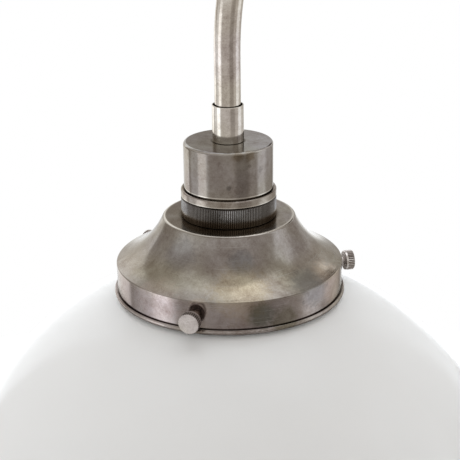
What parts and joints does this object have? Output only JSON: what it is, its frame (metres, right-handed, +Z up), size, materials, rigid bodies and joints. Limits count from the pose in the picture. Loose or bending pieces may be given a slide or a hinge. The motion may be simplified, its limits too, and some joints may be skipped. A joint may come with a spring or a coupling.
{
  "type": "wall light",
  "caption": "Swan-neck wall light in aged nickel with a knurled lampholder, spun gallery, thumbscrews and an opal glass globe hanging down.",
  "frame": {"origin": "centre of the wall strap's back face, on the wall and on the axis of the cable entry", "axes": "+Y into the wall, -Y out into the room, +Z up; the lamp hangs on the -Y side"},
  "size_m": [0.3048, 0.4004, 0.5266],
  "materials": {
    "aged_nickel": "polished and aged nickel plate on brass, mottled",
    "dark_nickel": "darkened nickel, fine straight knurl",
    "bright_nickel": "satin nickel",
    "zinc_steel": "zinc plated",
    "brass": "bare brass",
    "nylon": "natural nylon",
    "white_plastic": "moulded",
    "porcelain": "glazed porcelain",
    "core_sheath": "insulated cores",
    "flex_sheath": "round sheath",
    "opal_glass": "glossy opal white",
    "bulb_glass": "pearl",
    "bulb_cap": "plain",
    "solder": "tinned",
    "black_glass": "glossy"
  },
  "bodies": {
    "fixture": {"wall_strap": "zinc_steel", "strap_studs": "zinc_steel", "wall_plate": "aged_nickel", "cap_nuts": "aged_nickel", "arm_boss": "aged_nickel", "wall_nipple": "brass", "wall_washer": "zinc_steel", "wall_earth_tag": "brass", "wall_lock_nut": "zinc_steel", "terminal_block": "white_plastic", "terminal_screws": "zinc_steel", "block_screw": "zinc_steel", "wall_cores": "core_sheath", "arm_tube": "aged_nickel", "flex": "flex_sheath", "ferrule": "aged_nickel", "lamp_nipple": "brass", "lampholder_cap": "aged_nickel", "cap_earth_tag": "brass", "cap_lock_nut": "zinc_steel", "lampholder_skirt": "aged_nickel", "ceramic_insert": "porcelain", "insert_posts": "brass", "post_screws": "zinc_steel", "shell_screws": "zinc_steel", "screw_shell": "brass", "centre_contact": "brass", "lamp_cores": "core_sheath", "gallery": "aged_nickel", "screw_bushes": "aged_nickel", "globe": "opal_glass"},
    "upper_ring": {"upper_shade_ring": "dark_nickel"},
    "lower_ring": {"lower_shade_ring": "dark_nickel"},
    "bulb": {"bulb_contact": "solder", "bulb_insulator": "black_glass", "bulb_cap": "bulb_cap", "bulb_glass": "bulb_glass"},
    "tip_1": {"screw_tip_1": "nylon"},
    "thumbscrew_1": {"thumbscrew_1": "bright_nickel"},
    "tip_2": {"screw_tip_2": "nylon"},
    "thumbscrew_2": {"thumbscrew_2": "bright_nickel"},
    "tip_3": {"screw_tip_3": "nylon"},
    "thumbscrew_3": {"thumbscrew_3": "bright_nickel"}
  },
  "joints": [
    {"name": "screw_travel_1", "type": "slide", "parent": "fixture", "child": "tip_1", "axis": [0.2907, -0.9568, 0], "range_m": [0, 0.005]},
    {"name": "screw_turn_1", "type": "hinge", "parent": "tip_1", "child": "thumbscrew_1", "pos_m": [0.01744, -0.30548, -0.16807], "axis": [0.2907, -0.9568, 0], "range_deg": [0, 2572]},
    {"name": "screw_travel_2", "type": "slide", "parent": "fixture", "child": "tip_2", "axis": [0.6833, 0.7302, 0], "range_m": [0, 0.005]},
    {"name": "screw_turn_2", "type": "hinge", "parent": "tip_2", "child": "thumbscrew_2", "pos_m": [0.041, -0.20426, -0.16807], "axis": [0.6833, 0.7302, 0], "range_deg": [0, 2572]},
    {"name": "screw_travel_3", "type": "slide", "parent": "fixture", "child": "tip_3", "axis": [-0.974, 0.2267, 0], "range_m": [0, 0.005]},
    {"name": "screw_turn_3", "type": "hinge", "parent": "tip_3", "child": "thumbscrew_3", "pos_m": [-0.05844, -0.23447, -0.16807], "axis": [-0.974, 0.2267, 0], "range_deg": [0, 2572]},
    {"name": "upper_ring_turn", "type": "hinge", "parent": "fixture", "child": "upper_ring", "pos_m": [0, -0.24807, -0.13157], "axis": [0, 0, 1], "range_deg": [0, 45]},
    {"name": "lower_ring_travel", "type": "slide", "parent": "fixture", "child": "lower_ring", "axis": [0, 0, -1], "range_m": [0, 0.012]},
    {"name": "bulb_travel", "type": "slide", "parent": "fixture", "child": "bulb", "axis": [0, 0, -1], "range_m": [0, 0.025]}
  ],
  "couplings": [
    {"joint": "screw_turn_1", "follows": "screw_travel_1", "rad_per_m": 8976},
    {"joint": "screw_turn_2", "follows": "screw_travel_2", "rad_per_m": 8976},
    {"joint": "screw_turn_3", "follows": "screw_travel_3", "rad_per_m": 8976}
  ]
}
